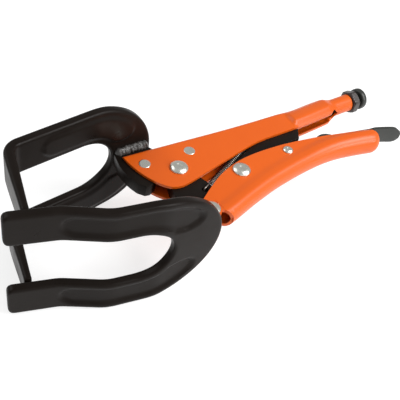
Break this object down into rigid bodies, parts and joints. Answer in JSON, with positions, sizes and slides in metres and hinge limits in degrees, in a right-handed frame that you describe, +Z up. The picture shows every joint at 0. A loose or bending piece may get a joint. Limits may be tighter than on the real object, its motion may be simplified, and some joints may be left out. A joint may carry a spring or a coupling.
{
  "type": "locking clamp pliers",
  "caption": "Locking clamp pliers: two forked jaws on riveted sheet-steel toggle handles, with an adjusting screw, lock nut and release lever.",
  "frame": {"origin": "centre of the outer box seen from above, at the height of the lowest fork edge: the tool lies on its side with the jaws locked", "axes": "+X to the rear end of the handles, along the tool; +Y from the lower handle to the upper handle; +Z up, along every rivet"},
  "size_m": [0.2803, 0.0829, 0.0794],
  "materials": {
    "orange_paint": "smooth orange powder coat on pressed sheet steel",
    "dark_steel": "brown-black satin coating on thick steel, worn grey on the edges",
    "weld_metal": "lumpy weld metal under the same dark coating, a few bright spots",
    "bright_rivet": "satin zinc plate",
    "grey_coated_steel": "dark green-grey satin plate",
    "black_nut": "black-brown satin oxide",
    "spring_wire": "dark oiled spring steel"
  },
  "bodies": {
    "upper_handle": {"upper_handle": "orange_paint", "upper_jaw_shank": "dark_steel", "upper_jaw_fork": "dark_steel", "upper_jaw_welds": "weld_metal", "main_pivot_rivet": "bright_rivet", "front_shank_rivet": "bright_rivet", "rear_shank_rivet": "bright_rivet", "spring_anchor_pin": "bright_rivet", "jaw_spring": "spring_wire"},
    "lower_jaw": {"lower_jaw_shank": "dark_steel", "lower_jaw_fork": "dark_steel", "lower_jaw_welds": "weld_metal"},
    "lower_handle": {"lower_handle": "orange_paint", "handle_pivot_rivet": "bright_rivet", "link_pivot_rivet": "bright_rivet", "lever_pivot_rivet": "bright_rivet"},
    "toggle_link": {"toggle_link": "dark_steel"},
    "release_lever": {"release_lever": "grey_coated_steel"},
    "adjusting_screw": {"adjusting_screw": "grey_coated_steel"},
    "screw_head": {"screw_head": "grey_coated_steel"},
    "lock_nut": {"lock_nut": "black_nut"}
  },
  "joints": [
    {"name": "jaw_pivot", "type": "hinge", "parent": "upper_handle", "child": "lower_jaw", "pos_m": [-0.0241, 0.0079, 0.0397], "axis": [0, 0, 1], "range_deg": [0, 15], "deforming": ["jaw_spring"]},
    {"name": "handle_pivot", "type": "hinge", "parent": "lower_jaw", "child": "lower_handle", "pos_m": [-0.0238, -0.0281, 0.0397], "axis": [0, 0, 1], "range_deg": [-48, 0]},
    {"name": "link_pivot", "type": "hinge", "parent": "lower_handle", "child": "toggle_link", "pos_m": [0.0107, -0.0084, 0.0397], "axis": [0, 0, 1], "range_deg": [0, 55.5]},
    {"name": "release_lever_pivot", "type": "hinge", "parent": "lower_handle", "child": "release_lever", "pos_m": [0.0492, -0.0051, 0.0397], "axis": [0, 0, 1], "range_deg": [-4, 0]},
    {"name": "screw_travel", "type": "slide", "parent": "upper_handle", "child": "adjusting_screw", "axis": [0.9986, 0.0523, 0], "range_m": [0, 0.0075]},
    {"name": "screw_turn", "type": "hinge", "parent": "adjusting_screw", "child": "screw_head", "pos_m": [0.13758, 0.02439, 0.0397], "axis": [0.9986, 0.0523, 0], "range_deg": [0, 2161]},
    {"name": "lock_nut_turn", "type": "hinge", "parent": "upper_handle", "child": "lock_nut", "pos_m": [0.1296, 0.02397, 0.0397], "axis": [0.9986, 0.0523, 0], "continuous": true}
  ],
  "couplings": [
    {"joint": "handle_pivot", "follows": "jaw_pivot", "ratio": -3.2},
    {"joint": "link_pivot", "follows": "jaw_pivot", "ratio": 3.7},
    {"joint": "screw_turn", "follows": "screw_travel", "rad_per_m": 5026.5}
  ]
}
